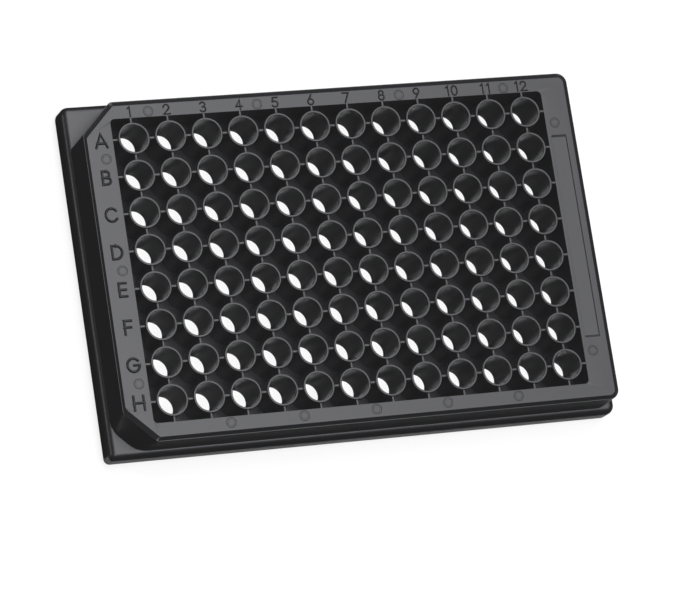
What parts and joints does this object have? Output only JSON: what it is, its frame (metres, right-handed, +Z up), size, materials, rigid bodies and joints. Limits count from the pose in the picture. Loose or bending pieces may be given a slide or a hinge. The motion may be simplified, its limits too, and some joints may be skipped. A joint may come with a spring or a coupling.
{
  "type": "well plate",
  "caption": "Black laboratory well plate with a low skirt, two cut corners, a grid of round wells joined by ribs, and a clear bottom sheet.",
  "frame": {"origin": "middle of the footprint, at the surface that the skirt's rim rests on", "axes": "+X along the rows from column 1 to column 12, +Y towards row A, +Z up, out of the wells"},
  "size_m": [0.1278, 0.0854, 0.0144],
  "materials": {
    "black_plastic": "black moulded polystyrene, smooth with a soft sheen",
    "clear_sheet": "clear, glossy polystyrene sheet"
  },
  "bodies": {
    "root": {"plate_frame": "black_plastic", "clear_bottom": "clear_sheet"}
  },
  "joints": []
}
